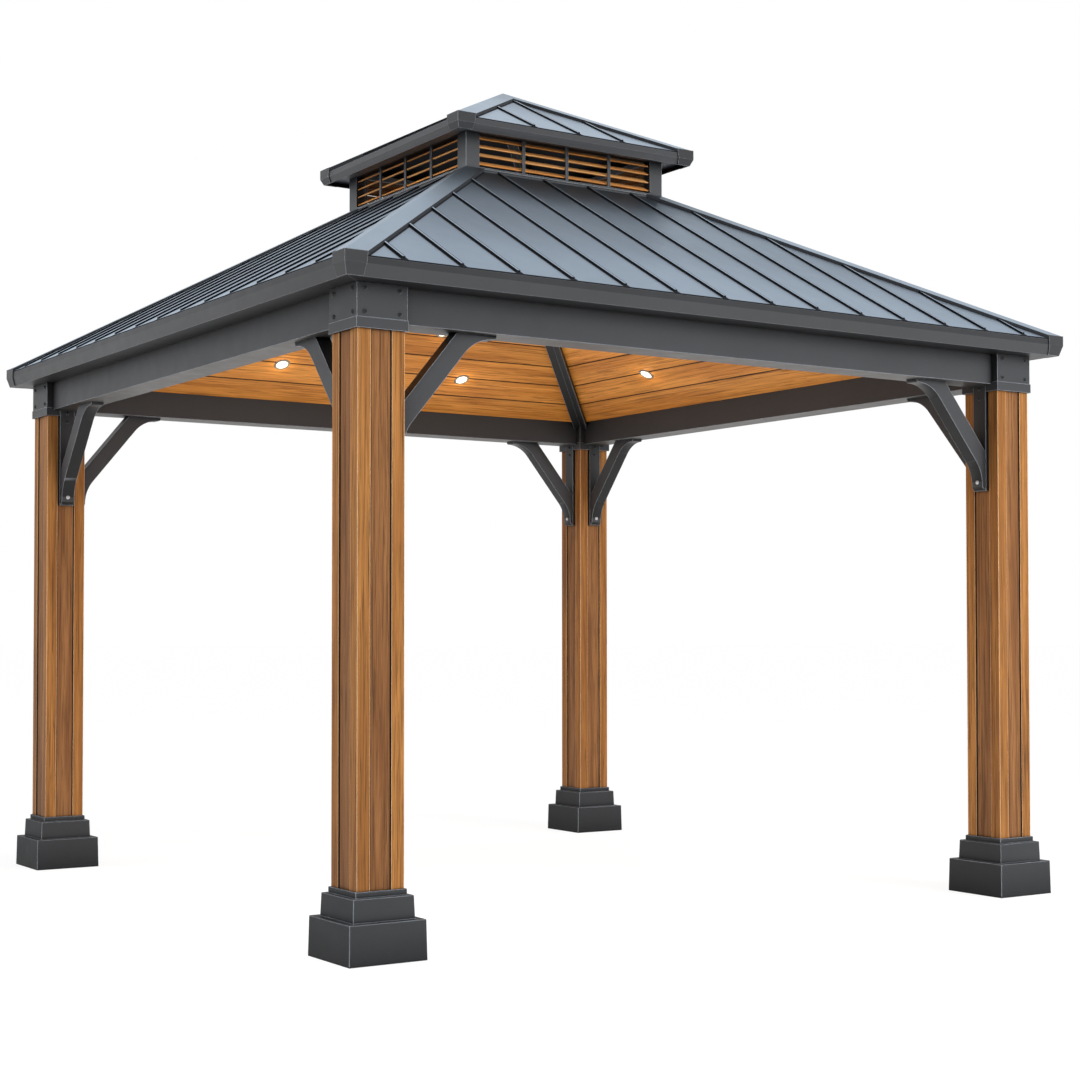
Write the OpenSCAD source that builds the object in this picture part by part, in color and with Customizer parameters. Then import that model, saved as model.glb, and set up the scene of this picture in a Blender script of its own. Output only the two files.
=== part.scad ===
// Hardtop garden gazebo: four panelled posts on stepped bases, a ring of beams with
// swan-neck knee braces, a standing-seam hip roof, and a louvred cupola under a second small hip roof.
// Millimetres, +Z up. The origin lies on the ground at the centre of the plan.

/* [Plan] */
// Distance between the centre lines of neighbouring posts
post_spacing = 3190; // [2600:10:4200]
// Eave edge beyond the post centre line
eave_overhang = 205; // [180:5:400]
// Clear height under the beams
clear_h = 2245; // [2000:5:2600]

/* [Posts] */
// Width of a post across its flats
post_w = 190; // [150:1:240]
// Width of the recessed panel in each post face
recess_w = 84; // [76:1:110]
// Depth of the recessed panel
recess_d = 5; // [4:0.5:12]
// Wall of the hollow post behind the recess
post_wall = 16; // [8:1:25]
// Width of the foot plate beyond the post, on each side
foot_rim = 32; // [26:1:40]
// Thickness of the foot plate
foot_t = 10; // [6:1:16]
// Radius of an anchor hole in the foot plate
anchor_r = 7; // [5:0.5:9]

/* [Base covers] */
// First tier beyond the post face
tier1_out = 61; // [54:1:80]
// Second tier beyond the post face
tier2_out = 29; // [22:1:38]
// Collar beyond the post face
tier3_out = 8; // [6:0.5:14]
// Height of the first tier
tier1_h = 144; // [100:1:180]
// Height of the second tier
tier2_h = 83; // [50:1:120]
// Height of the collar
tier3_h = 22; // [12:1:40]
// Draft of each tier, taken in over its height
tier_draft = 3; // [0:0.5:5]
// Wall of the cover
cover_t = 5; // [3:0.5:7]

/* [Corner brackets] */
// Bracket plates beyond the post face
bracket_out = 7.5; // [6:0.5:12]
// Sheet thickness of the bracket plates
bracket_t = 4; // [3:0.5:5]
// Height of the collar band at the foot of the bracket
band_h = 39; // [36:1:60]
// Part of the band that hangs below the beams
band_drop = 30; // [20:1:34]
// Band beyond the bracket plates
band_out = 3; // [2:0.5:5]

/* [Beams] */
// Width of a beam
beam_w = 140; // [120:1:160]
// Height of a beam
beam_h = 150; // [145:1:180]
// Wall of the beam tube
beam_wall = 5; // [3:0.5:8]

/* [Knee braces] */
// Thickness of a brace across its plane
brace_w = 62; // [50:1:70]
// Depth of the brace arm in its plane
brace_depth = 72; // [55:1:90]
// Where the straight upper edge meets the beam, from the mounting strip
brace_top = 245; // [220:5:320]
// Where the straight upper edge meets the mounting strip, below the beam
brace_side = 293; // [260:1:360]
// Reach of the flare along the beam past the straight lower edge
flare_top = 78; // [40:2:110]
// Reach of the flare down the post past the straight lower edge
flare_foot = 56; // [40:2:100]
// Thickness of the nose that ends a flare
nose_t = 15; // [11:0.5:20]
// Radius of the nose
nose_r = 10; // [4:0.5:10]
// Width of the mounting strip set in the post recess
strip_w = 72; // [64:1:74]
// Thickness of the mounting strip
strip_t = 17; // [14:0.5:22]
// Mounting strip below the foot of the brace
strip_below = 8; // [2:1:20]

/* [Main roof] */
// Pitch of the main roof
pitch = 29.5; // [22:0.5:38]
// Height of the eave fascia
fascia_h = 69; // [50:1:100]
// Part of the fascia face that stands upright, from its top
fascia_upright = 24; // [15:1:34]
// How far the lower part of the fascia leans in
fascia_lean = 13; // [6:1:20]
// Sheet thickness of fascias, caps and soffits
sheet_t = 3; // [2:0.5:4]
// Thickness of the roof sheet
roof_t = 4; // [3:0.5:6]
// Spacing of the standing seams
seam_pitch = 240; // [180:5:320]
// Width of a standing seam
seam_w = 16; // [8:1:24]
// Height of a standing seam above the sheet
seam_h = 7; // [5:1:26]
// Setback of a seam's end from the eave
seam_setback = 10; // [4:1:30]
// Half width of a hip cap in plan
hip_half = 64; // [50:1:90]
// Height of a hip cap above the seams
hip_over = 6; // [0:0.5:15]
// Length of an eave corner cap along each fascia, at its top
cap_leg = 88; // [80:1:120]
// How much shorter a corner cap is at its bottom edge
cap_taper = 11; // [0:1:20]
// Height of a corner cap above the fascia
cap_rise = 19; // [8:1:34]
// Face of a corner cap beyond the fascia
cap_out = 5; // [2:0.5:8]

/* [Ceiling] */
// Underside of the ceiling at the beam, below the beam's top face
ceiling_drop = 23; // [15:1:50]
// Underside of the soffit, below the beam's top face
soffit_drop = 19; // [11:1:25]
// Thickness of the ceiling boards
ceiling_t = 14; // [8:1:20]
// Width of a hip rafter
rafter_w = 75; // [60:1:90]
// Rafter below the ceiling boards
rafter_drop = 36; // [15:1:60]
// Outer diameter of a downlight trim
light_d = 84; // [70:1:110]
// Diameter of a downlight lens
light_lens_d = 60; // [40:1:62]
// Height of the downlight can above the ceiling's underside
light_can_h = 42; // [25:1:60]
// Downlights of the lower row, in from the beam
light_low = 270; // [200:10:400]
// Downlights of the lower row, to each side of the middle
light_low_side = 540; // [300:10:800]
// Downlights of the upper row, in from the beam
light_high = 600; // [520:10:780]
// Downlights of the upper row, to each side of the middle
light_high_side = 230; // [100:10:500]

/* [Cupola] */
// Width of the cupola
cupola_w = 1070; // [900:10:1250]
// Height of the cupola wall between the two roofs
cupola_h = 170; // [140:1:220]
// Thickness of a cupola wall frame
cupola_t = 50; // [46:1:60]
// Width of a cupola corner post
cupola_post = 70; // [50:1:90]
// Height of the bottom rail above the roof
cupola_rail = 20; // [8:1:30]
// Height of the top rail above the upper soffit
cupola_top = 25; // [18:1:35]
// Width of a mullion
mullion_w = 15; // [10:1:28]
// Depth of a mullion, at the front of the frame
mullion_t = 6; // [4:1:14]
// Number of louvre blades on each side
blade_n = 4; // [3:1:5]
// Thickness of a louvre blade
blade_t = 7; // [4:0.5:10.5]
// Tilt of the louvre blades
blade_tilt = 31; // [24:1:45]
// Curb below the ceiling boards
curb_drop = 30; // [10:1:60]

/* [Upper roof] */
// Eave edge of the upper roof beyond the cupola wall
upper_overhang = 105; // [80:1:160]
// Pitch of the upper roof
upper_pitch = 27; // [18:0.5:34]
// Height of the upper fascia
upper_fascia_h = 52; // [44:1:80]
// Fascia of the upper roof below its soffit
upper_lip = 21; // [10:1:34]
// Depth of the upper hip rafters, measured upright
upper_rafter_h = 84; // [80:1:110]
// Width of an upper hip rafter
upper_rafter_w = 50; // [40:1:70]

/* [Hidden] */

$fn = 48;
// Clearance between pieces that slide over one another
fit = 0.3;
// Overlap of the tools that cut through a wall
cut = 1;

// Plan half sizes, measured from the centre to a side
post_line = post_spacing / 2;
beam_in = post_line - beam_w / 2;
beam_out = post_line + beam_w / 2;
cap_half = post_line + eave_overhang;
eave_half = cap_half - cap_out;
cupola_half = cupola_w / 2;
upper_cap_half = cupola_half + upper_overhang;
upper_half = upper_cap_half - cap_out;
reach = 2 * cap_half;

// Heights
beam_top = clear_h + beam_h;
soffit_z = beam_top - soffit_drop;
eave_z = soffit_z + fascia_h;
slope = tan(pitch);
roof_v = roof_t / cos(pitch);
seam_v = seam_h / cos(pitch);
hip_h = seam_h + hip_over;
hip_v = hip_h / cos(pitch);
wall_z = eave_z + (eave_half - cupola_half) * slope + roof_v;
upper_soffit_z = wall_z + cupola_h;
upper_fascia_z = upper_soffit_z - upper_lip;
upper_eave_z = upper_fascia_z + upper_fascia_h;
upper_slope = tan(upper_pitch);
upper_roof_v = roof_t / cos(upper_pitch);
upper_seam_v = seam_h / cos(upper_pitch);
upper_hip_v = hip_h / cos(upper_pitch);
cupola_top_z = upper_soffit_z + cupola_top;
ceiling_z = beam_top - ceiling_drop;
ceiling_v = ceiling_t / cos(pitch);
ceiling_top_z = ceiling_z + (beam_in - cupola_half) * slope;
curb_z = ceiling_top_z - curb_drop;
high = upper_eave_z + upper_half;

// Corner bracket
bracket_half = post_w / 2 + bracket_out;
bracket_z = clear_h - band_drop;

// Knee brace, in its own plane: s runs out from the post face and d runs down from the beam
brace_angle = atan(brace_side / brace_top);
brace_shift = brace_depth / sin(brace_angle);
brace_low = (brace_top + brace_shift) * tan(brace_angle);
strip_face = strip_t - recess_d;
flare_angle_top = (180 - brace_angle) / 2;
flare_angle_foot = (90 + brace_angle) / 2;
foot_d = brace_low + flare_foot;
strip_d = foot_d + strip_below;

// Louvres, set behind the mullions with a small gap before and behind
window_low = wall_z + cupola_rail;
window_h = upper_soffit_z - window_low;
blade_pitch = window_h / blade_n;
blade_gap = 1;
blade_run = cupola_t - mullion_t - 2 * blade_gap;
blade_reach = (blade_run - blade_t * sin(blade_tilt)) / cos(blade_tilt);
blade_room = (blade_pitch - blade_t * cos(blade_tilt) - 2 * fit) / sin(blade_tilt);
blade_l = min(blade_reach, blade_room);

// Seams, left out where the hip would leave less than the least length
seam_least = 120;
seam_room = eave_half - hip_half * sqrt(2) - seam_least;
seam_pairs = floor(seam_room / seam_pitch - 0.5);
seam_places = [for (i = [0:seam_pairs]) for (s = [-1, 1]) s * (i + 0.5) * seam_pitch];
upper_room = upper_half - hip_half * sqrt(2) - seam_least;
upper_pairs = floor(upper_room / seam_pitch);
upper_places = [for (i = [-upper_pairs:upper_pairs]) i * seam_pitch];

// Half section mirrored into a closed outline
function both_halves(p) =
  concat(p, [for (i = [len(p) - 1:-1:0]) if (p[i][0] > 0) [-p[i][0], p[i][1]]]);

// Solid of square plan that has the same half section on all four sides
module square_turn(half_section) {
  intersection() {
    rotate([90, 0, 0])
      linear_extrude(height = 2 * reach, center = true)
        polygon(both_halves(half_section));
    rotate([90, 0, 90])
      linear_extrude(height = 2 * reach, center = true)
        polygon(both_halves(half_section));
  }
}

// Bar along the front side, with its section given as [distance from centre, height]
module front_run(section, length) {
  rotate([90, 0, 90])
    linear_extrude(height = length, center = true)
      polygon([for (p = section) [-p[0], p[1]]]);
}

// Quarter of the plan in front of both diagonals, moved forward by a distance
module front_quarter(forward) {
  translate([0, 0, -cut])
    linear_extrude(height = high)
      polygon([[0, -forward], [-reach, -reach - forward], [reach, -reach - forward]]);
}

// Side 0 is the front, 1 the right, 2 the back and 3 the left
module side(k) {
  rotate([0, 0, 90 * k])
    children();
}

module all_sides() {
  for (k = [0:3])
    side(k)
      children();
}

// Corner 0 is front left, 1 front right, 2 back right and 3 back left
module corner(k) {
  rotate([0, 0, 90 * k])
    translate([-post_line, -post_line, 0])
      children();
}

module all_corners() {
  for (k = [0:3])
    corner(k)
      children();
}

// Everything under a hip roof's surface
module under_hips(edge, edge_z, rise) {
  square_turn([[edge, 0], [edge, edge_z], [0, edge_z + edge * rise]]);
}

// Upright slabs along both diagonals
module diagonals(half_width) {
  for (a = [45, 135])
    rotate([0, 0, a])
      translate([-reach, -half_width, clear_h])
        cube([2 * reach, 2 * half_width, high]);
}

// Cross-shaped kerf that parts pieces that meet at the centre
module centre_kerf() {
  for (a = [0, 90])
    rotate([0, 0, a])
      translate([-reach, -fit / 2, clear_h])
        cube([2 * reach, fit, high]);
}

module square_prism(half, low, top) {
  translate([-half, -half, low])
    cube([2 * half, 2 * half, top - low]);
}

module foot_plate() {
  half = post_w / 2 + foot_rim;
  hole = post_w / 2 + foot_rim / 2;
  difference() {
    square_prism(half, 0, foot_t);
    for (sx = [-1, 1])
      for (sy = [-1, 1])
        translate([sx * hole, sy * hole, -cut])
          cylinder(h = foot_t + 2 * cut, r = anchor_r);
  }
}

module foot_plates() {
  color([0.35, 0.36, 0.38])
    all_corners()
      foot_plate();
}

module base_cover() {
  face = post_w / 2;
  z1 = tier1_h;
  z2 = z1 + tier2_h;
  z3 = z2 + tier3_h;
  color([0.22, 0.23, 0.25])
    difference() {
      square_turn([
        [face + tier1_out, 0],
        [face + tier1_out - tier_draft, z1],
        [face + tier2_out, z1],
        [face + tier2_out - tier_draft, z2],
        [face + tier3_out, z2],
        [face + tier3_out, z3]
      ]);
      square_turn([
        [face + tier1_out - cover_t, -cut],
        [face + tier1_out - tier_draft - cover_t, z1 - cover_t],
        [face + tier2_out - cover_t, z1 - cover_t],
        [face + tier2_out - tier_draft - cover_t, z2 - cover_t],
        [face + fit, z2 - cover_t],
        [face + fit, z3 + cut]
      ]);
    }
}

module post() {
  face = post_w / 2;
  floor_face = face - recess_d;
  bore = floor_face - post_wall;
  color([0.55, 0.37, 0.22])
    difference() {
      square_prism(face, foot_t, clear_h);
      for (a = [0:90:270])
        rotate([0, 0, a])
          translate([floor_face, -recess_w / 2, 0])
            cube([recess_d + cut, recess_w, clear_h + cut]);
      square_prism(bore, 0, clear_h + cut);
    }
}

module bracket() {
  notch = beam_w / 2 + fit;
  slot = strip_w / 2 + fit;
  color([0.24, 0.25, 0.27])
    difference() {
      union() {
        square_prism(bracket_half + band_out, bracket_z, bracket_z + band_h);
        square_prism(bracket_half, bracket_z, soffit_z);
      }
      square_prism(post_w / 2 + fit, bracket_z - cut, bracket_z + band_h);
      square_prism(bracket_half - bracket_t, bracket_z + band_h - bracket_t, soffit_z + cut);
      translate([0, -notch, clear_h])
        cube([reach, 2 * notch, beam_h]);
      translate([-notch, 0, clear_h])
        cube([2 * notch, reach, beam_h]);
      translate([0, -slot, bracket_z - cut])
        cube([reach, 2 * slot, band_h]);
      translate([-slot, 0, bracket_z - cut])
        cube([2 * slot, reach, band_h]);
    }
}

module beam() {
  color([0.25, 0.26, 0.28])
    intersection() {
      difference() {
        front_run([[beam_out, clear_h], [beam_out, beam_top], [beam_in, beam_top], [beam_in, clear_h]],
          2 * reach);
        front_run([
          [beam_out - beam_wall, clear_h + beam_wall],
          [beam_out - beam_wall, beam_top - beam_wall],
          [beam_in + beam_wall, beam_top - beam_wall],
          [beam_in + beam_wall, clear_h + beam_wall]
        ], 2 * reach + cut);
      }
      front_quarter(0);
    }
}

// Triangle between two edges that meet, hollowed by a round that both edges touch
module flare(meet, out_a, out_b, length, half_angle) {
  r = length * tan(half_angle);
  bisector = (out_a + out_b) / norm(out_a + out_b);
  centre = meet + bisector * (r / sin(half_angle));
  difference() {
    translate([0, brace_w / 2, 0])
      rotate([90, 0, 0])
        linear_extrude(height = brace_w)
          polygon([meet, meet + out_a * length, meet + out_b * length]);
    translate([centre[0], brace_w / 2 + cut, centre[1]])
      rotate([90, 0, 0])
        cylinder(h = brace_w + 2 * cut, r = r, $fn = 96);
  }
}

// What a round takes off the lower outer corner of a nose
module nose_corner(tip) {
  translate([tip[0] - nose_r, -brace_w / 2 - cut, tip[1] - cut])
    difference() {
      cube([nose_r + cut, brace_w + 2 * cut, nose_r + cut]);
      translate([0, -cut, nose_r + cut])
        rotate([-90, 0, 0])
          cylinder(h = brace_w + 4 * cut, r = nose_r);
    }
}

// One arm from a mounting strip, out along +X under a beam
module brace_arm() {
  up = [cos(brace_angle), sin(brace_angle)];
  s_low = brace_top + brace_shift;
  meet_top = [s_low - nose_t / tan(brace_angle), -nose_t];
  meet_foot = [nose_t, -brace_low + nose_t * tan(brace_angle)];
  tip = [meet_top[0] + flare_top + nose_r, -nose_t];
  foot = [nose_t, -foot_d];
  translate([post_w / 2 + strip_face, 0, clear_h])
    difference() {
      union() {
        translate([0, brace_w / 2, 0])
          rotate([90, 0, 0])
            linear_extrude(height = brace_w)
              polygon([
                [0, -brace_side],
                [brace_top, 0],
                [tip[0], 0],
                tip,
                meet_top,
                meet_foot,
                foot,
                [0, -foot_d]
              ]);
        flare(meet_top, [1, 0], -up, flare_top, flare_angle_top);
        flare(meet_foot, [0, -1], up, meet_foot[1] + foot_d - nose_r, flare_angle_foot);
      }
      nose_corner(tip);
      nose_corner(foot);
    }
}

module brace_pair() {
  color([0.20, 0.21, 0.23])
    for (a = [0, 90])
      rotate([0, 0, a])
        brace_arm();
}

module brace_strips() {
  color([0.22, 0.23, 0.25])
    all_corners()
      for (a = [0, 90])
        rotate([0, 0, a])
          translate([post_w / 2 - recess_d, -strip_w / 2, clear_h - strip_d])
            cube([strip_t, strip_w, strip_d]);
}

module hip_rafters() {
  low = ceiling_z - rafter_drop;
  color([0.20, 0.21, 0.23])
    difference() {
      intersection() {
        difference() {
          under_hips(beam_out, eave_z + (eave_half - beam_out) * slope, slope);
          under_hips(beam_out + cut, low - (beam_w + cut) * slope, slope);
        }
        diagonals(rafter_w / 2);
      }
      square_prism(cupola_half, clear_h - cut, high);
      difference() {
        square_prism(reach, 0, beam_top);
        square_prism(beam_in, -cut, beam_top + cut);
      }
      for (k = [0:3])
        corner(k)
          square_prism(bracket_half, 0, soffit_z);
    }
}

// Moves a piece to the ceiling of the front side, with +Z square to the boards
module on_ceiling(across, inward) {
  translate([across, -beam_in + inward, ceiling_z + inward * slope])
    rotate([pitch, 0, 0])
      children();
}

module at_lights() {
  for (sx = [-1, 1]) {
    on_ceiling(sx * light_low_side, light_low)
      children();
    on_ceiling(sx * light_high_side, light_high)
      children();
  }
}

module ceiling() {
  inner_z = ceiling_z + (beam_in - cupola_half) * slope;
  can_r = light_lens_d / 2 + 5;
  color([0.62, 0.42, 0.22])
    difference() {
      intersection() {
        front_run([
          [beam_in, ceiling_z],
          [beam_in, ceiling_z + ceiling_v],
          [cupola_half, inner_z + ceiling_v],
          [cupola_half, inner_z]
        ], 2 * reach);
        front_quarter(rafter_w / 2 * sqrt(2));
      }
      at_lights()
        translate([0, 0, -ceiling_t])
          cylinder(h = 3 * ceiling_t, r = can_r + fit);
    }
}

module downlight_trims() {
  lens_r = light_lens_d / 2 + fit;
  can_r = light_lens_d / 2 + 5;
  color([0.80, 0.78, 0.74])
    all_sides()
      at_lights()
        rotate_extrude()
          polygon([
            [lens_r, -4],
            [light_d / 2 - 3, -4],
            [light_d / 2, -1],
            [light_d / 2, 0],
            [can_r, 0],
            [can_r, light_can_h],
            [lens_r, light_can_h]
          ]);
}

module downlight_lenses() {
  color([1.0, 0.90, 0.70])
    all_sides()
      at_lights()
        translate([0, 0, -1])
          cylinder(h = 6, r = light_lens_d / 2);
}

// Roof sheet of the front side, from its eave in to a wall or up to the apex
module roof_sheet(edge, edge_z, inner, rise, sheet_v) {
  inner_z = edge_z + (edge - inner) * rise;
  intersection() {
    front_run([[edge, edge_z], [edge, edge_z + sheet_v], [inner, inner_z + sheet_v], [inner, inner_z]],
      2 * reach);
    front_quarter(0);
  }
}

// Standing seams of the front side, cut back to the hip caps
module seams(places, edge, edge_z, inner, rise, sheet_v, up_v) {
  low_edge = edge - seam_setback;
  low_z = edge_z + seam_setback * rise + sheet_v / 2;
  inner_z = low_z + (low_edge - inner) * rise;
  top_v = sheet_v / 2 + up_v;
  intersection() {
    for (x = places)
      translate([x, 0, 0])
        front_run([[low_edge, low_z], [low_edge, low_z + top_v], [inner, inner_z + top_v], [inner, inner_z]],
          seam_w);
    front_quarter(hip_half * sqrt(2));
  }
}

module roof() {
  color([0.42, 0.46, 0.50]) {
    roof_sheet(eave_half, eave_z, cupola_half, slope, roof_v);
    seams(seam_places, eave_half, eave_z, cupola_half, slope, roof_v, seam_v);
  }
}

module upper_roof() {
  color([0.42, 0.46, 0.50])
    difference() {
      all_sides() {
        roof_sheet(upper_half, upper_eave_z, 0, upper_slope, upper_roof_v);
        seams(upper_places, upper_half, upper_eave_z, 0, upper_slope, upper_roof_v, upper_seam_v);
      }
      diagonals(fit / 2);
    }
}

// Folded caps over all four hips, with closed ends and turned-down edges that stand on the sheet
module caps_over_hips(edge, edge_z, rise, sheet_v, up_v) {
  difference() {
    intersection() {
      under_hips(edge, edge_z + sheet_v + up_v, rise);
      diagonals(hip_half);
    }
    intersection() {
      under_hips(edge - sheet_t, edge_z + sheet_v + up_v - sheet_t + sheet_t * rise, rise);
      diagonals(hip_half - sheet_t);
    }
    under_hips(edge + cut, edge_z + sheet_v - cut * rise, rise);
  }
}

module hip_caps() {
  color([0.46, 0.50, 0.54])
    difference() {
      caps_over_hips(eave_half, eave_z, slope, roof_v, hip_v);
      square_prism(cupola_half, clear_h, high);
    }
}

module upper_hip_caps() {
  color([0.46, 0.50, 0.54])
    difference() {
      caps_over_hips(upper_half, upper_eave_z, upper_slope, upper_roof_v, upper_hip_v);
      centre_kerf();
    }
}

// Height where the fascia's upright part ends, always above the soffit
function knee(top_z, soffit) = max(top_z - fascia_upright, soffit + 2 * sheet_t);

// Folded fascia of the front side, with the soffit that runs back to the wall or beam
module fascia(edge, top_z, low_z, soffit, back, rise) {
  knee_z = knee(top_z, soffit);
  low_edge = edge - fascia_lean;
  lean = fascia_lean / (knee_z - low_z);
  join_z = soffit + sheet_t;
  join_edge = low_edge + (join_z - low_z) * lean - sheet_t;
  soffit_edge = low_edge + (soffit - low_z) * lean - sheet_t;
  lip = soffit > low_z + fit ? [[low_edge - sheet_t, low_z], [soffit_edge, soffit]] : [];
  front_run(concat(
    [
      [edge, top_z],
      [edge, knee_z],
      [low_edge, low_z]
    ],
    lip,
    [
      [back, soffit],
      [back, join_z],
      [join_edge, join_z],
      [edge - sheet_t, knee_z],
      [edge - sheet_t, top_z + sheet_t * rise]
    ]
  ), 2 * reach);
}

module eave_fascias() {
  color([0.24, 0.25, 0.27])
    all_sides()
      intersection() {
        fascia(eave_half, eave_z, soffit_z, soffit_z, beam_out, slope);
        front_quarter(fit / 2);
      }
}

module upper_fascias() {
  color([0.24, 0.25, 0.27])
    all_sides()
      intersection() {
        fascia(upper_half, upper_eave_z, upper_fascia_z, upper_soffit_z, cupola_half, upper_slope);
        front_quarter(fit / 2);
      }
}

// Folded caps over the four corners of a fascia
module corner_caps(edge, top_z, low_z, soffit) {
  knee_z = knee(top_z, soffit);
  cap_z = top_z + cap_rise;
  difference() {
    square_turn([
      [edge + cap_out - fascia_lean, low_z],
      [edge + cap_out, knee_z],
      [edge + cap_out, cap_z]
    ]);
    square_turn([
      [edge - fascia_lean, low_z - cut],
      [edge - fascia_lean, low_z],
      [edge, knee_z],
      [edge, cap_z + cut]
    ]);
    for (a = [0, 90])
      rotate([90, 0, a])
        linear_extrude(height = 2 * reach, center = true)
          polygon(both_halves([
            [edge - cap_leg + cap_taper, low_z - cut],
            [edge - cap_leg + cap_taper, low_z],
            [edge - cap_leg, cap_z],
            [edge - cap_leg, cap_z + cut]
          ]));
  }
}

module eave_corner_caps() {
  color([0.46, 0.50, 0.54])
    corner_caps(eave_half, eave_z, soffit_z, soffit_z);
}

module upper_corner_caps() {
  color([0.46, 0.50, 0.54])
    corner_caps(upper_half, upper_eave_z, upper_fascia_z, upper_soffit_z);
}

// Wall frame of the front side: curb, corner posts, rails, and mullions at the front
module cupola_wall() {
  clear = cupola_half - cupola_post;
  step = 2 * clear / 4;
  color([0.22, 0.23, 0.25])
    intersection() {
      union() {
        difference() {
          translate([-cupola_half, -cupola_half, curb_z])
            cube([2 * cupola_half, cupola_t, cupola_top_z - curb_z]);
          translate([-clear, -cupola_half - cut, window_low])
            cube([2 * clear, cupola_t + 2 * cut, window_h]);
        }
        for (i = [1:3])
          translate([-clear + i * step - mullion_w / 2, -cupola_half, window_low - cut])
            cube([mullion_w, mullion_t, window_h + 2 * cut]);
      }
      front_quarter(0);
    }
}

// Blade with a rounded nose, as long as the clear width
module blade(clear) {
  nose = blade_t / 2;
  translate([-clear, nose - blade_l, 0])
    cube([2 * clear, blade_l - nose, blade_t]);
  translate([-clear, nose - blade_l, nose])
    rotate([0, 90, 0])
      cylinder(h = 2 * clear, r = nose);
}

module louvre_blades() {
  back = -cupola_half + cupola_t - blade_gap;
  color([0.58, 0.38, 0.20])
    all_sides()
      for (i = [0:blade_n - 1])
        translate([0, back, window_low + (i + 1) * blade_pitch - blade_t * cos(blade_tilt) - fit])
          rotate([blade_tilt, 0, 0])
            blade(cupola_half - cupola_post);
}

module upper_rafters() {
  seat_z = upper_eave_z + (upper_half - cupola_half) * upper_slope;
  color([0.20, 0.21, 0.23])
    difference() {
      intersection() {
        difference() {
          under_hips(cupola_half, seat_z, upper_slope);
          under_hips(cupola_half + cut, seat_z - upper_rafter_h - cut * upper_slope, upper_slope);
        }
        diagonals(upper_rafter_w / 2);
      }
      square_prism(reach, 0, cupola_top_z);
      centre_kerf();
    }
}

foot_plates();
corner(0) base_cover();  // base_cover_front_left
corner(1) base_cover();  // base_cover_front_right
corner(2) base_cover();  // base_cover_back_right
corner(3) base_cover();  // base_cover_back_left
corner(0) post();  // post_front_left
corner(1) post();  // post_front_right
corner(2) post();  // post_back_right
corner(3) post();  // post_back_left
corner(0) bracket();  // bracket_front_left
corner(1) bracket();  // bracket_front_right
corner(2) bracket();  // bracket_back_right
corner(3) bracket();  // bracket_back_left
side(0) beam();  // beam_front
side(1) beam();  // beam_right
side(2) beam();  // beam_back
side(3) beam();  // beam_left
corner(0) brace_pair();  // braces_front_left
corner(1) brace_pair();  // braces_front_right
corner(2) brace_pair();  // braces_back_right
corner(3) brace_pair();  // braces_back_left
brace_strips();
hip_rafters();
side(0) ceiling();  // ceiling_front
side(1) ceiling();  // ceiling_right
side(2) ceiling();  // ceiling_back
side(3) ceiling();  // ceiling_left
downlight_trims();
downlight_lenses();
side(0) roof();  // roof_front
side(1) roof();  // roof_right
side(2) roof();  // roof_back
side(3) roof();  // roof_left
hip_caps();
eave_fascias();
eave_corner_caps();
side(0) cupola_wall();  // cupola_front
side(1) cupola_wall();  // cupola_right
side(2) cupola_wall();  // cupola_back
side(3) cupola_wall();  // cupola_left
louvre_blades();
upper_rafters();
upper_roof();
upper_hip_caps();
upper_fascias();
upper_corner_caps();
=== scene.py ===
"""Looks of an open garden gazebo.

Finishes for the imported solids, ceiling boards, bolts, floor, light and camera.
"""

import math
import random

import bmesh
import bpy
from mathutils import Matrix, Vector


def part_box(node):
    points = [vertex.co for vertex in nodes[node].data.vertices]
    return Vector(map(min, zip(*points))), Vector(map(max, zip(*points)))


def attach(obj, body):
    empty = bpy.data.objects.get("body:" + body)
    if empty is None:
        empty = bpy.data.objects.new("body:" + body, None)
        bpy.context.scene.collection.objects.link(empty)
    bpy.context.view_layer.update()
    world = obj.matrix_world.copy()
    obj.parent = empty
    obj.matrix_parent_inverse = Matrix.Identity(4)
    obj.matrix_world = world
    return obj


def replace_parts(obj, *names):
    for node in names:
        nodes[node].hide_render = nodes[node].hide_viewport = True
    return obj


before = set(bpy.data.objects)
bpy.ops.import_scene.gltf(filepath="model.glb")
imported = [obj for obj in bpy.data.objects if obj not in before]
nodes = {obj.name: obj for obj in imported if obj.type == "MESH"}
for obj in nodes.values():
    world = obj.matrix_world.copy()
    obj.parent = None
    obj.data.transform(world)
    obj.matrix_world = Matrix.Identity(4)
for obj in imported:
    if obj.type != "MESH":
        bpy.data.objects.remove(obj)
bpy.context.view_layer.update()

# Places that the frame gives, in metres
CORNERS = ("front_left", "front_right", "back_right", "back_left")
SIDES = ("front", "right", "back", "left")
POST_LOW, POST_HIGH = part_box("post_front_right")
CEILING_LOW, CEILING_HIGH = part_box("ceiling_front")
ROOF_LOW, ROOF_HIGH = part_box("roof_front")
UPPER_LOW, UPPER_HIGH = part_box("upper_roof")
BRACKET_LOW, BRACKET_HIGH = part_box("bracket_front_left")
POST_LINE = (POST_LOW.x + POST_HIGH.x) / 2
POST_HALF = (POST_HIGH.x - POST_LOW.x) / 2
BEAM_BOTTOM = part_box("beam_front")[0].z
BRACE_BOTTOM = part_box("braces_front_left")[0].z
SOFFIT_Z = BRACKET_HIGH.z
BEAM_IN = -CEILING_LOW.y
CEILING_IN = -CEILING_HIGH.y
CUPOLA_HALF = -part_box("cupola_front")[0].y

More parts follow.
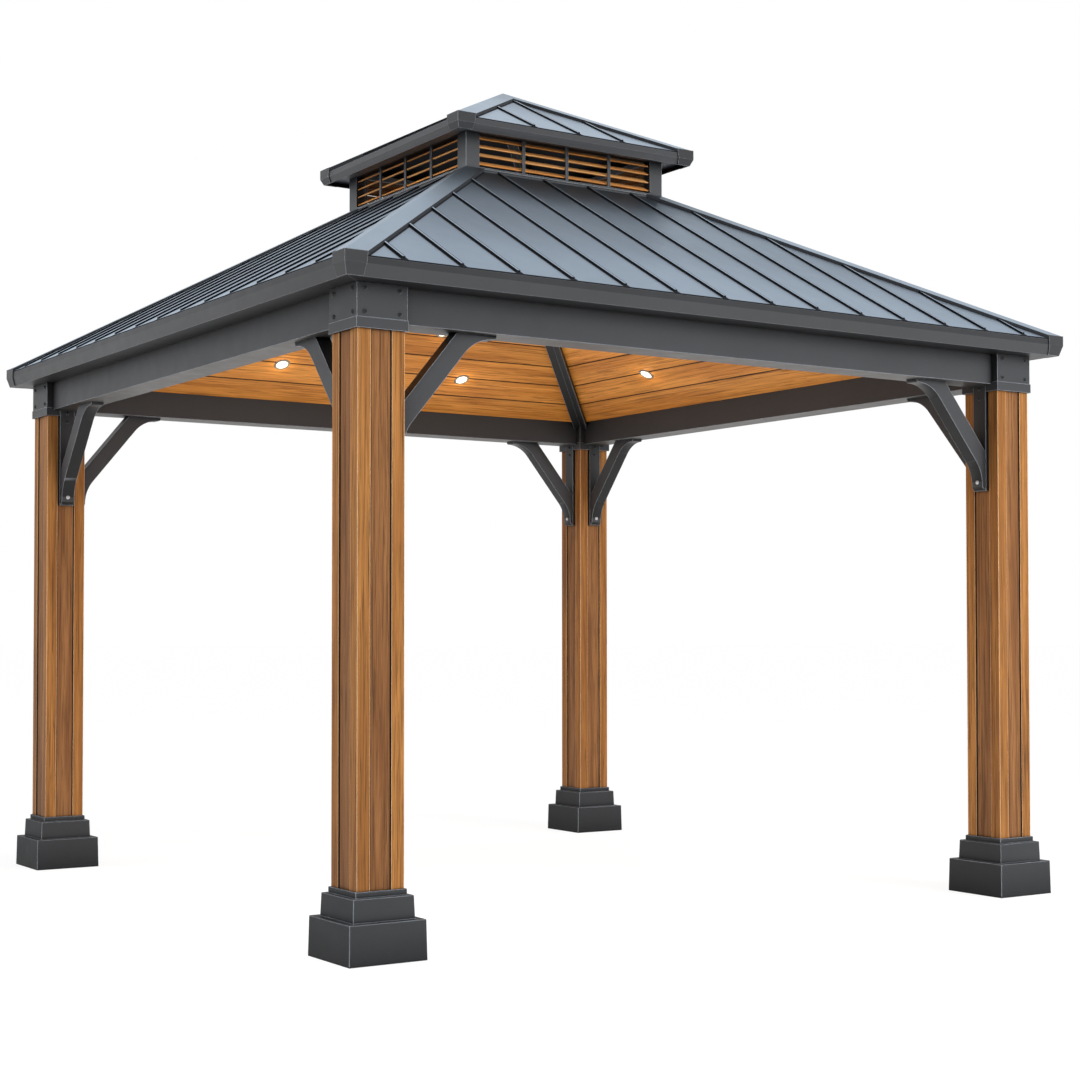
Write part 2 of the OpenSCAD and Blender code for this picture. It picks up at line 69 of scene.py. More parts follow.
# Sizes that the solids share, in metres and radians
ROOF_PITCH = math.radians(29.5)
UPPER_PITCH = math.radians(27.0)
RAFTER_HALF = 0.0375
BAND_H = 0.039
BAND_OUT = 0.003
RECESS_HALF = 0.042
ROOF_T = 0.004
SEAM_PITCH = 0.240
SEAM_HALF = 0.008
HIP_HALF = 0.064
STRIP_PROUD = 0.012
NOSE_T = 0.0155
BOARD_T = 0.014

# Downlights: each row's distance in from the beams, and to both sides of the middle
LIGHT_ROWS = ((0.270, 0.540), (0.600, 0.230))
LIGHT_HOLE_R = 0.0353
LIGHT_HOLE_STEPS = 40
LIGHT_HOLE_ENDS = (-0.03, 0.05)
GLOW_BELOW = 0.05
WARM_LIGHT = (1.0, 0.85, 0.65)

# Ceiling boards; the faces in the joints between them are shaded
BOARD_WIDTH = 0.165
BOARD_GAP = 0.0038
BOARD_CHAMFER = 0.0022
BOARD_TONES = (0.86, 1.10)
BOARD_SEEDS = (0.0, 40.0)
BOARD_UNDERSIDE = 1
JOINT_SHADE = 0.12

# Bolts: below the beams on the strips, and above the foot of each brace
STRIP_BOLTS_DOWN = (0.016, 0.058)
FOOT_BOLT_UP = 0.030
BOLT_STEPS = 16
BOLT_SMOOTH = math.radians(40)

# Lines that the finishes draw, in metres: where each is full, and where it has gone
# Painted highlight along a seam's top
RIDGE_LINE = (0.0034, 0.0048)
# Painted shadow on the pans beside a seam's foot and beside a hip cap
SEAM_SHADE = (0.0072, 0.0100)
HIP_SHADE = (0.0060, 0.0085)
PANEL_EDGE = (-0.0008, 0.0)
# Painted shade in the grooves round each sunk panel
GROOVE_IN = (-0.0034, -0.0046)
GROOVE_OUT = (0.0002, 0.0006)
# Reach of the painted highlights on the edges of the coats and the wood
COAT_EDGE_R = 0.0035
WOOD_EDGE_R = 0.005

# Height over the sheet at which a seam starts and is full
SEAM_RISE = (0.0020, 0.0035)

# Upward part of a face's direction at which a tone of painted light or shade starts and is full
LEANING = (-0.08, -0.14)
UNDERSIDE = (-0.955, -0.985)
STEEP = (0.70, 0.50)

# Tones of the finishes
# Painted shade on the steep sides of seams and hip caps
SEAM_SIDE_SHADE = (0.010, 0.011, 0.013)
CAP_SIDE_SHADE = (0.030, 0.032, 0.036)
# Painted highlight on seam tops, as a share of the pan colour
RIDGE_HIGHLIGHT = 1.4
PAN_METAL = 0.85
SKY_TINT = (0.84, 0.92, 1.0, 1.0)
PANEL_DROPS = (-0.28, -0.26, -0.02)
# Painted highlight colour on the wood's edges
WOOD_EDGE_HIGHLIGHT = (0.98, 0.68, 0.40)
# Painted shade in the grooves of the posts
GROOVE_SHADE = (0.010, 0.005, 0.003)

# Photograph's camera: focal length and where its axis meets the square image, in pixels
IMAGE_SIDE = 1080
FOCAL_PX = 1898.4
AXIS_PX = (500.0, 583.4)
CAMERA_TURN = math.radians(32.662)
CAMERA_RISE = math.radians(1.5)
CAMERA_PLACE = Vector((-4.836, -7.519, 1.1471))
SENSOR_MM = 36.0


# Shader wiring

def new_material(name):
    material = bpy.data.materials.new(name)
    material.use_nodes = True
    material.node_tree.nodes.clear()
    return material, material.node_tree


def wire(tree, kind, inputs=None, **settings):
    """Adds a node; an input is set to a value or linked from a socket."""
    node = tree.nodes.new(kind)
    for key, value in settings.items():
        setattr(node, key, value)
    for key, value in (inputs or {}).items():
        if isinstance(value, bpy.types.NodeSocket):
            tree.links.new(value, node.inputs[key])
        else:
            node.inputs[key].default_value = value
    return node


def calc(tree, operation, a, b=0.0, c=0.0):
    return wire(tree, "ShaderNodeMath", {0: a, 1: b, 2: c}, operation=operation).outputs[0]


def scaled(tree, value, times, plus):
    return calc(tree, "MULTIPLY_ADD", value, times, plus)


def product(tree, a, b):
    return calc(tree, "MULTIPLY", a, b)


def difference(tree, a, b):
    return calc(tree, "SUBTRACT", a, b)


def size_of(tree, value):
    return calc(tree, "ABSOLUTE", value)


def choose(tree, factor, a, b):
    """The first value where the factor is zero, the second where it is one."""
    return wire(tree, "ShaderNodeMix", {0: factor, 2: a, 3: b}, data_type="FLOAT").outputs[0]


def band(tree, value, low, high, to_low=0.0, to_high=1.0):
    """Smooth step of a value from one level to another."""
    inputs = {"Value": value, "From Min": low, "From Max": high, "To Min": to_low, "To Max": to_high}
    return wire(tree, "ShaderNodeMapRange", inputs, interpolation_type="SMOOTHSTEP").outputs["Result"]


def line(tree, distance, limits, start=0.0, unit=1.0):
    """One where a drawn line is full and zero where it has gone, with the limits taken from a start."""
    full, gone = limits
    return band(tree, distance, (start + gone) / unit, (start + full) / unit)


def noise(tree, vector, scale, detail=3.0, roughness=0.5, distortion=0.0):
    inputs = {"Vector": vector, "Scale": scale, "Detail": detail, "Roughness": roughness,
              "Distortion": distortion}
    return wire(tree, "ShaderNodeTexNoise", inputs).outputs["Fac"]


def blend_colour(tree, factor, a, b, mode="MIX"):
    node = tree.nodes.new("ShaderNodeMix")
    node.data_type = "RGBA"
    node.blend_type = mode
    for index, value in ((0, factor), (6, a), (7, b)):
        if isinstance(value, bpy.types.NodeSocket):
            tree.links.new(value, node.inputs[index])
        elif index == 0:
            node.inputs[index].default_value = value
        else:
            node.inputs[index].default_value = (*value, 1.0)
    return node.outputs[2]


def toned(tree, colour, tone):
    """A colour times one grey tone."""
    return blend_colour(tree, 1.0, colour, join(tree, tone, tone, tone), "MULTIPLY")


def object_place(tree):
    return wire(tree, "ShaderNodeTexCoord").outputs["Object"]


def split(tree, vector):
    node = wire(tree, "ShaderNodeSeparateXYZ", {0: vector})
    return node.outputs[0], node.outputs[1], node.outputs[2]


def join(tree, x, y, z):
    return wire(tree, "ShaderNodeCombineXYZ", {0: x, 1: y, 2: z}).outputs[0]


def upward_part(tree):
    """How far a face looks up: one on top, minus one underneath."""
    return split(tree, wire(tree, "ShaderNodeNewGeometry").outputs["True Normal"])[2]


def edge_mask(tree, radius):
    """One along sharp outer and inner edges, zero on flats."""
    rounded = wire(tree, "ShaderNodeBevel", {"Radius": radius}, samples=4).outputs[0]
    flat = wire(tree, "ShaderNodeNewGeometry").outputs["Normal"]
    same = wire(tree, "ShaderNodeVectorMath", {0: rounded, 1: flat}, operation="DOT_PRODUCT").outputs["Value"]
    return band(tree, same, 0.995, 0.90)


def inner_corner(tree, reach):
    """Falls from one towards zero where faces meet in an inner corner."""
    return wire(tree, "ShaderNodeAmbientOcclusion", {"Distance": reach}, samples=6).outputs["AO"]


def from_centre(tree, x, y):
    """Distance from the centre of the plan, measured square to the nearest side."""
    return calc(tree, "MAXIMUM", size_of(tree, x), size_of(tree, y))


def on_side(tree, x, y):
    """One towards the left and right, zero towards the front and back."""
    return calc(tree, "GREATER_THAN", size_of(tree, x), size_of(tree, y))


def finish_shader(tree, colour, roughness, normal, **sockets):
    """Principled surface; what is the same all over goes straight to its sockets."""
    inputs = {"Base Color": colour, "Roughness": roughness, "Normal": normal}
    inputs.update({key.replace("_", " "): value for key, value in sockets.items()})
    shader = wire(tree, "ShaderNodeBsdfPrincipled", inputs)
    wire(tree, "ShaderNodeOutputMaterial", {"Surface": shader.outputs[0]})
    return shader


def bump(tree, height, strength, distance, normal=None):
    inputs = {"Height": height, "Strength": strength, "Distance": distance}
    if normal is not None:
        inputs["Normal"] = normal
    return wire(tree, "ShaderNodeBump", inputs).outputs[0]


# Finishes

def powder_coat(name, colour, highlight_colour, roughness, specular=0.28, lean_shading_colour=None, underside_shading_colour=None):
    """Satin powder coat: faint mottling, orange peel, a painted highlight on the outer edges, and painted
    shade in corners, recesses and under overhanging parts.

    Faces that lean outward over the ground and level undersides can take a colour of their own, which paints
    the light or shade that falls on them.
    """
    material, tree = new_material(name)
    place = object_place(tree)
    # Painted shade: darker in tight inner corners and joints, and more broadly where other parts close in,
    # such as under the beams
    painted_corner_shade = band(tree, inner_corner(tree, reach=0.018), 0.42, 0.86)
    painted_overhang_shade = band(tree, inner_corner(tree, reach=0.28), 0.25, 0.90)
    tone = scaled(tree, noise(tree, place, scale=1.7, detail=4.0), 0.30, 0.78)
    tone = scaled(tree, noise(tree, place, scale=260.0, detail=2.0), 0.12, tone)
    tone = product(tree, tone, scaled(tree, painted_corner_shade, 0.72, 0.28))
    tone = product(tree, tone, scaled(tree, painted_overhang_shade, 0.80, 0.20))
    # Painted light and shade on leaning faces and undersides
    if lean_shading_colour is not None:
        colour = blend_colour(tree, band(tree, upward_part(tree), *LEANING), colour, lean_shading_colour)
    if underside_shading_colour is not None:
        colour = blend_colour(tree, band(tree, upward_part(tree), *UNDERSIDE), colour, underside_shading_colour)
    base = toned(tree, colour, tone)
    # Painted highlight: a paler colour along sharp edges, varied by noise and kept out of the shaded corners
    painted_edge_highlight = scaled(tree, noise(tree, place, scale=9.0), 0.4, 0.65)
    painted_edge_highlight = product(tree, painted_edge_highlight, product(tree, edge_mask(tree, COAT_EDGE_R), painted_corner_shade))
    base = blend_colour(tree, painted_edge_highlight, base, highlight_colour)
    rough = scaled(tree, noise(tree, place, scale=14.0), 0.16, roughness - 0.08)
    peel = bump(tree, noise(tree, place, scale=520.0, detail=2.0), strength=0.10, distance=0.0006)
    finish_shader(tree, base, rough, peel, Specular_IOR_Level=specular)
    return material


def roof_coat(name, colour, steep_shade_colour, roughness, sheet, uphill_shade, seams=None):
    """Satin metallic coat: slightly wavy pans with painted shade that deepens uphill, fine flake, and
    standing seams with painted shade on their steep sides, a painted highlight along their tops and painted
    shadow beside them.

    The sheet is given by its eave's distance from the centre and height, its pitch, and the reach inward;
    each step of painted uphill shade by the shares of that reach where it starts and stops, and the tone that
    it leaves;
    the seams by their shift in spacings and the reach to both sides of the middle.
    """
    edge, edge_z, pitch, reach = sheet
    material, tree = new_material(name)
    place = object_place(tree)
    x, y, z = split(tree, place)
    inward = difference(tree, edge, from_centre(tree, x, y))
    flake = noise(tree, place, scale=340.0, detail=2.0)
    tone = scaled(tree, noise(tree, place, scale=2.3, detail=4.0), 0.26, 0.80)
    tone = scaled(tree, flake, 0.14, tone)
    # Painted shade that darkens the pans uphill towards the cupola
    for start, stop, level in uphill_shade:
        tone = product(tree, tone, band(tree, inward, start * reach, stop * reach, 1.0, level))
    pan = toned(tree, colour, tone)
    # Painted shade: steep faces, such as the sides of seams and caps, take the dark shade colour
    dark = band(tree, upward_part(tree), *STEEP)
    if seams is not None:
        seam_shift, seam_reach = seams
        sheet_z = scaled(tree, inward, math.tan(pitch), edge_z + ROOF_T / math.cos(pitch))
        on_seam = band(tree, difference(tree, z, sheet_z), *SEAM_RISE)
        along = choose(tree, on_side(tree, x, y), x, y)
        turns = scaled(tree, along, 1 / SEAM_PITCH, seam_shift)
        off = size_of(tree, difference(tree, calc(tree, "FRACT", turns), 0.5))
        # Painted highlight along the top of each seam, kept off its steep sides
        ridge_highlight = product(tree, on_seam, line(tree, off, RIDGE_LINE, unit=SEAM_PITCH))
        ridge_highlight = product(tree, ridge_highlight, difference(tree, 1.0, dark))
        # Painted shadow on the pans beside each seam, and beside the hip caps
        beside_shadow = line(tree, off, SEAM_SHADE, SEAM_HALF, SEAM_PITCH)
        beside_shadow = product(tree, beside_shadow, calc(tree, "LESS_THAN", size_of(tree, along), seam_reach))
        from_hip = size_of(tree, difference(tree, size_of(tree, x), size_of(tree, y)))
        from_hip = product(tree, from_hip, math.sqrt(0.5))
        beside_shadow = calc(tree, "MAXIMUM", beside_shadow, line(tree, from_hip, HIP_SHADE, HIP_HALF))
        dark = calc(tree, "MAXIMUM", dark, difference(tree, beside_shadow, ridge_highlight))
        pan = blend_colour(tree, ridge_highlight, pan, [RIDGE_HIGHLIGHT * c for c in colour])
    base = blend_colour(tree, dark, pan, steep_shade_colour)
    metallic = scaled(tree, dark, -PAN_METAL, PAN_METAL)
    rough = scaled(tree, noise(tree, place, scale=11.0), 0.14, roughness - 0.07)
    rough = scaled(tree, dark, 0.3, rough)
    waves = bump(tree, noise(tree, place, scale=3.1, detail=1.0), strength=0.35, distance=0.004)
    peel = bump(tree, flake, 0.08, 0.0005, waves)
    finish_shader(tree, base, rough, peel, Metallic=metallic, Specular_IOR_Level=0.12,
                  Specular_Tint=SKY_TINT)
    return material


def grain_pattern(tree, across, along, depth, seed):
    """Streaks that run along a board: broad tone, fibres, and a few dark veins."""
    def streaks(start, stretch, **look):
        return noise(tree, join(tree, start, product(tree, along, stretch), depth), **look)

    own = calc(tree, "ADD", across, seed)
    broad = streaks(own, 0.06, scale=14.0, detail=4.0, roughness=0.55, distortion=0.7)
    fibre = streaks(across, 0.02, scale=260.0, detail=3.0, roughness=0.6)
    vein = streaks(own, 0.022, scale=108.0, detail=4.0, roughness=0.62, distortion=1.2)
    return broad, fibre, vein


def wood_colour(tree, pattern, dark, middle, light):
    broad, fibre, vein = pattern
    colour = blend_colour(tree, band(tree, broad, 0.34, 0.66), middle, light)
    colour = blend_colour(tree, band(tree, vein, 0.48, 0.66, 0.0, 0.85), colour, dark)
    return toned(tree, colour, scaled(tree, fibre, 1.20, 0.42))


def wood_surface(tree, colour, pattern, roughness, specular):
    fibre, vein = pattern[1:]
    rough = scaled(tree, vein, 0.20, roughness - 0.10)
    relief = scaled(tree, vein, -0.6, fibre)
    normal = bump(tree, relief, strength=0.22, distance=0.0012)
    finish_shader(tree, colour, rough, normal, Specular_IOR_Level=specular)


def post_wood(name, dark, middle, light):
    """Upright grain; each face has a darker sunk panel, set off from the corner strips by grooves painted
    dark as shade, with a painted highlight on the edges and painted shade near other parts.
    """
    material, tree = new_material(name)
    x, y, z = split(tree, object_place(tree))
    side_x = difference(tree, size_of(tree, x), POST_LINE)
    side_y = difference(tree, size_of(tree, y), POST_LINE)
    near = calc(tree, "MINIMUM", size_of(tree, side_x), size_of(tree, side_y))
    panel = line(tree, near, PANEL_EDGE, RECESS_HALF)
    across = calc(tree, "ADD", x, y)
    depth = difference(tree, x, y)
    pattern = grain_pattern(tree, across, z, depth, seed=product(tree, panel, 3.7))
    colour = wood_colour(tree, pattern, dark, middle, light)
    shades = [scaled(tree, panel, drop, 1.0) for drop in PANEL_DROPS]
    colour = blend_colour(tree, 1.0, colour, join(tree, *shades), "MULTIPLY")
    # Painted highlight along the post's corners and the edges of its strips
    post_edge_highlight = product(tree, edge_mask(tree, WOOD_EDGE_R), 0.92)
    colour = blend_colour(tree, post_edge_highlight, colour, WOOD_EDGE_HIGHLIGHT)
    # Painted shade in the grooves between the panel and the strips
    groove_shade = product(tree, line(tree, near, GROOVE_IN, RECESS_HALF),
                     line(tree, near, GROOVE_OUT, RECESS_HALF))
    colour = blend_colour(tree, groove_shade, colour, GROOVE_SHADE)
    # Painted shade near the bracket, the base and the inner corners
    painted_corner_shade = band(tree, inner_corner(tree, reach=0.035), 0.40, 0.90)
    colour = toned(tree, colour, scaled(tree, painted_corner_shade, 0.6, 0.4))
    wood_surface(tree, colour, pattern, roughness=0.55, specular=0.22)
    return material


def board_wood(name, dark, middle, light):
    """Grain along each board, with a tone and a grain of its own from the board's attributes."""
    material, tree = new_material(name)
    place = wire(tree, "ShaderNodeAttribute", attribute_name="board_place").outputs["Vector"]
    along, across, seed = split(tree, place)
    pattern = grain_pattern(tree, across, along, seed, seed)
    colour = wood_colour(tree, pattern, dark, middle, light)
    tone = wire(tree, "ShaderNodeAttribute", attribute_name="board_tone").outputs["Fac"]
    wood_surface(tree, toned(tree, colour, tone), pattern, roughness=0.50, specular=0.25)
    return material


def louvre_wood(name, dark, middle, light):
    """Grain along the blades of every side, with painted shade towards the inside and underneath."""
    material, tree = new_material(name)
    x, y, z = split(tree, object_place(tree))
    side = on_side(tree, x, y)
    along = choose(tree, side, x, y)
    across = choose(tree, side, y, x)
    pattern = grain_pattern(tree, calc(tree, "ADD", across, z), along, z, seed=1.3)
    colour = wood_colour(tree, pattern, dark, middle, light)
    # Painted shade: blades darker towards the inside of the cupola and on their undersides
    inward_shade = band(tree, from_centre(tree, x, y), CUPOLA_HALF - 0.024, CUPOLA_HALF - 0.050, 1.0, 0.22)
    shade = product(tree, inward_shade, band(tree, upward_part(tree), -0.5, -0.1, 0.2, 1.0))
    wood_surface(tree, toned(tree, colour, shade), pattern, roughness=0.5, specular=0.2)
    return material


def galvanised(name):
    material, tree = new_material(name)
    place = object_place(tree)
    spangle = wire(tree, "ShaderNodeTexVoronoi", {"Vector": place, "Scale": 90.0}).outputs["Color"]
    base = blend_colour(tree, 0.25, (0.30, 0.31, 0.32), spangle, "OVERLAY")
    rough = scaled(tree, noise(tree, place, scale=40.0), 0.25, 0.35)
    grit = bump(tree, noise(tree, place, scale=300.0), strength=0.1, distance=0.0004)
    finish_shader(tree, base, rough, grit, Metallic=0.9)
    return material


def trim_metal(name, colour):
    material, tree = new_material(name)
    place = object_place(tree)
    base = toned(tree, colour, scaled(tree, noise(tree, place, scale=60.0), 0.2, 0.88))
    rough = scaled(tree, noise(tree, place, scale=220.0), 0.2, 0.25)
    grit = bump(tree, noise(tree, place, scale=900.0), strength=0.05, distance=0.0003)
    finish_shader(tree, base, rough, grit, Metallic=0.6)
    return material


def lit_lens(name, colour, strength):
    """Prismatic diffuser that glows, a little less towards the edges of its fine cells."""
    material, tree = new_material(name)
    place = object_place(tree)
    cells = wire(tree, "ShaderNodeTexVoronoi", {"Vector": place, "Scale": 260.0}).outputs["Distance"]
    rough = scaled(tree, cells, 0.2, 0.25)
    relief = bump(tree, cells, strength=0.2, distance=0.001)
    shader = finish_shader(tree, (*colour, 1.0), rough, relief)
    shader.inputs["Emission Color"].default_value = (*colour, 1.0)
    tree.links.new(scaled(tree, cells, -0.5, strength), shader.inputs["Emission Strength"])
    return material


# Modelled details

def piece(name, mesh, material):
    obj = bpy.data.objects.new(name, mesh)
    bpy.context.scene.collection.objects.link(obj)
    mesh.materials.append(material)
    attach(obj, "root")
    return obj


def mesh_from(name, bm, smooth_angle=None):
    bmesh.ops.recalc_face_normals(bm, faces=bm.faces)
    mesh = bpy.data.meshes.new(name)
    bm.to_mesh(mesh)
    bm.free()
    if smooth_angle is not None:
        mesh.shade_smooth()
        mesh.set_sharp_from_angle(angle=smooth_angle)
    return mesh


def add_lathe(bm, profile, place, axis, steps):
    """Turns a profile of (radius, height) about an axis through a place."""
    turn = Vector((0, 0, 1)).rotation_difference(Vector(axis)).to_matrix().to_4x4()
    matrix = Matrix.Translation(place) @ turn
    angles = [2 * math.pi * i / steps for i in range(steps)]
    rings = []
    for radius, height in profile:
        if radius == 0:
            rings.append([bm.verts.new(matrix @ Vector((0, 0, height)))] * steps)
            continue
        points = [Vector((radius * math.cos(a), radius * math.sin(a), height)) for a in angles]
        rings.append([bm.verts.new(matrix @ p) for p in points])
    for low, high in zip(rings, rings[1:]):
        for i in range(steps):
            j = (i + 1) % steps
            corners = list(dict.fromkeys((low[i], low[j], high[j], high[i])))
            if len(corners) > 2:
                bm.faces.new(corners)


def add_prism(bm, ends):
    """Closes two like rings of vertices into a solid; gives its long faces first, then its ends."""
    first, second = ends
    count = len(first)
    faces = []
    for a in range(count):
        b = (a + 1) % count
        faces.append(bm.faces.new((first[a], second[a], second[b], first[b])))
    return faces + [bm.faces.new(first), bm.faces.new(reversed(second))]


def bolt_profile(head_r, head_h, washer_r, washer_h):
    """Washer and domed head, closed at the back."""
    dome = [(head_r * math.cos(a), washer_h + head_h * (0.35 + 0.65 * math.sin(a)))
            for a in (math.radians(15 * i) for i in range(6))]
    return [(0, 0), (washer_r, 0), (washer_r, washer_h * 0.7), (washer_r - washer_h * 0.3, washer_h),
            (head_r, washer_h), *dome, (0, washer_h + head_h)]


def bolts(name, places, profile, material):
    bm = bmesh.new()
    for place, axis in places:
        add_lathe(bm, profile, place, axis, BOLT_STEPS)
    return piece(name, mesh_from(name, bm, BOLT_SMOOTH), material)


def at_corner(index, point):
    """A place or direction given at the front left corner, turned to another corner."""
    return Matrix.Rotation(math.radians(90 * index), 3, "Z") @ Vector(point)


def bracket_bolt_places():
    """Four bolts on each outer plate of every bracket."""
    inset, from_soffit, above_band = 0.032, 0.021, 0.019
    face = BRACKET_LOW.x + BAND_OUT
    half = -face - POST_LINE
    heights = (SOFFIT_Z - from_soffit, BRACKET_LOW.z + BAND_H + above_band)
    places = []
    for k in range(4):
        for along in (-half + inset, half - inset):
            for z in heights:
                places.append((at_corner(k, (-POST_LINE + along, face, z)), at_corner(k, (0, -1, 0))))
                places.append((at_corner(k, (face, -POST_LINE + along, z)), at_corner(k, (-1, 0, 0))))
    return places


def inner_side_places(inner, heights):
    """Places on the two inner sides of every post, with the directions out of those sides."""
    places = []
    for k in range(4):
        for z in heights:
            places.append((at_corner(k, (inner, -POST_LINE, z)), at_corner(k, (1, 0, 0))))
            places.append((at_corner(k, (-POST_LINE, inner, z)), at_corner(k, (0, 1, 0))))
    return places


def strip_bolt_places():
    """Two bolts near the top of each mounting strip."""
    inner = -POST_LINE + POST_HALF + STRIP_PROUD
    return inner_side_places(inner, [BEAM_BOTTOM - down for down in STRIP_BOLTS_DOWN])


def foot_bolt_places():
    """One bolt in the foot of each brace."""
    inner = -POST_LINE + POST_HALF + STRIP_PROUD + NOSE_T
    return inner_side_places(inner, [BRACE_BOTTOM + FOOT_BOLT_UP])


def ceiling_boards(index, side, material, rng):
    """Boards of one ceiling, parallel to the eave and cut along the hip rafters."""
    slope = math.tan(ROOF_PITCH)
    depth = BEAM_IN - CEILING_IN
    count = round(depth / math.cos(ROOF_PITCH) / BOARD_WIDTH)
    rise = BOARD_T / math.cos(ROOF_PITCH)
    back = RAFTER_HALF * math.sqrt(2)
    step = depth / count
    cut = BOARD_CHAMFER
    bm = bmesh.new()
    place_layer = bm.loops.layers.float_vector.new("board_place")
    tone_layer = bm.loops.layers.float.new("board_tone")
    for i in range(count):
        low = i * step + (BOARD_GAP / 2 if i else 0)
        high = (i + 1) * step - (BOARD_GAP / 2 if i < count - 1 else 0)
        section = [(low, cut), (low + cut, 0), (high - cut, 0), (high, cut), (high, rise), (low, rise)]
        ends = []
        for sign in (-1, 1):
            ring = []
            for q, v in section:
                half = BEAM_IN - q - back
                point = Vector((sign * half, -BEAM_IN + q, CEILING_LOW.z + q * slope + v))
                ring.append(bm.verts.new(at_corner(index, point)))
            ends.append(ring)
        faces = add_prism(bm, ends)
        tone = rng.uniform(*BOARD_TONES)
        seed = rng.uniform(*BOARD_SEEDS)
        for number, face in enumerate(faces):
            for loop in face.loops:
                local = at_corner(-index, loop.vert.co)
                loop[place_layer] = Vector((local.x, local.y / math.cos(ROOF_PITCH), seed))
                loop[tone_layer] = tone if number == BOARD_UNDERSIDE else JOINT_SHADE * tone
    name = "ceiling_boards_" + side
    obj = piece(name, mesh_from(name, bm), material)
    cut_light_holes(obj, index)
    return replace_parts(obj, "ceiling_" + side)


def light_places():
    """Middle of each downlight on the ceiling of the front side, with the direction square to the boards."""
    slope = math.tan(ROOF_PITCH)
    up = Vector((0, -math.sin(ROOF_PITCH), math.cos(ROOF_PITCH)))
    spots = [(sign * across, inward) for inward, across in LIGHT_ROWS for sign in (-1, 1)]
    return [(Vector((x, -BEAM_IN + q, CEILING_LOW.z + q * slope)), up) for x, q in spots]


def cut_light_holes(obj, index):
    low, high = LIGHT_HOLE_ENDS
    profile = [(0, low), (LIGHT_HOLE_R, low), (LIGHT_HOLE_R, high), (0, high)]
    bm = bmesh.new()
    for place, up in light_places():
        add_lathe(bm, profile, at_corner(index, place), at_corner(index, up), LIGHT_HOLE_STEPS)
    cutter = bpy.data.objects.new("light_holes", mesh_from("light_holes", bm))
    bpy.context.scene.collection.objects.link(cutter)
    modifier = obj.modifiers.new("light_holes", "BOOLEAN")
    modifier.operation = "DIFFERENCE"
    modifier.solver = "EXACT"
    modifier.object = cutter
    bpy.context.view_layer.update()
    cut = bpy.data.meshes.new_from_object(obj.evaluated_get(bpy.context.evaluated_depsgraph_get()))
    obj.modifiers.clear()
    old = obj.data
    obj.data = cut
    bpy.data.meshes.remove(old)
    bpy.data.objects.remove(cutter)


def curb_beads(material):
    """Thin bead along the curb of each cupola wall, between the hip caps and just above the seams."""
    clear, over_seams, top, out, fold = 0.002, 0.001, 0.0055, 0.0035, 0.0012
    half = CUPOLA_HALF - HIP_HALF * math.sqrt(2) - clear
    low, high = ROOF_HIGH.z + over_seams, ROOF_HIGH.z + top
    section = [(0, low), (out - fold, low), (out, low + fold),
               (out, high - fold), (out - fold, high), (0, high)]
    bm = bmesh.new()
    for k in range(4):
        ends = [[bm.verts.new(at_corner(k, (sign * half, -CUPOLA_HALF - q, z))) for q, z in section]
                for sign in (-1, 1)]
        add_prism(bm, ends)
    return piece("curb_beads", mesh_from("curb_beads", bm), material)


def soften_edges(obj, width):
    """Small true radius on the edges of a solid, with its flats kept flat."""
    weld = obj.modifiers.new("weld", "WELD")
    weld.merge_threshold = 0.00002
    flats = obj.modifiers.new("flats", "DECIMATE")
    flats.decimate_type = "DISSOLVE"
    flats.angle_limit = math.radians(0.5)
    edges = obj.modifiers.new("edges", "BEVEL")
    edges.width = width
    edges.segments = 2
    edges.limit_method = "ANGLE"
    edges.angle_limit = math.radians(35)
    edges.use_clamp_overlap = True
    edges.harden_normals = True


def dress(name, material, edge=None):
    obj = nodes[name]
    obj.data.materials.clear()
    obj.data.materials.append(material)
    if edge:
        soften_edges(obj, edge)


EAVE = (-ROOF_LOW.y, ROOF_LOW.z, ROOF_PITCH, -ROOF_LOW.y - CUPOLA_HALF)
UPPER_EAVE = (UPPER_HIGH.x, UPPER_LOW.z, UPPER_PITCH, UPPER_HIGH.x)
# The charcoal coat has painted shade on its leaning faces and a warm painted light on its undersides
charcoal = powder_coat("charcoal_coat", colour=(0.050, 0.052, 0.056), highlight_colour=(0.46, 0.50, 0.56),
                       roughness=0.46, lean_shading_colour=(0.010, 0.0105, 0.011),
                       underside_shading_colour=(0.064, 0.060, 0.056))
cupola_coat = powder_coat("cupola_coat", colour=(0.080, 0.084, 0.090), highlight_colour=(0.34, 0.37, 0.41),
                          roughness=0.46)
# The eave fascia's coat is a darker copy of the charcoal coat as painted shade, with painted light on its
# leaning face and painted shade underneath; the upper fascia's coat has a painted light on its underside
fascia_coat = powder_coat("fascia_coat", colour=(0.024, 0.025, 0.028), highlight_colour=(0.20, 0.22, 0.25),
                          roughness=0.46, specular=0.35, lean_shading_colour=(0.046, 0.048, 0.050),
                          underside_shading_colour=(0.016, 0.017, 0.019))
upper_fascia_coat = powder_coat("upper_fascia_coat", colour=(0.048, 0.049, 0.053),
                                highlight_colour=(0.22, 0.24, 0.27), roughness=0.46, specular=0.35,
                                lean_shading_colour=(0.058, 0.059, 0.063), underside_shading_colour=(0.38, 0.39, 0.41))
base_coat = powder_coat("base_coat", colour=(0.054, 0.0565, 0.060), highlight_colour=(0.70, 0.77, 0.86),
                        roughness=0.55, specular=0.08)
corner_caps = powder_coat("corner_cap_coat", colour=(0.031, 0.032, 0.035), highlight_colour=(0.36, 0.39, 0.43),
                          roughness=0.42, specular=0.35)
bolt_dark = powder_coat("bolt_coat", colour=(0.014, 0.015, 0.017), highlight_colour=(0.14, 0.15, 0.16),
                        roughness=0.42)
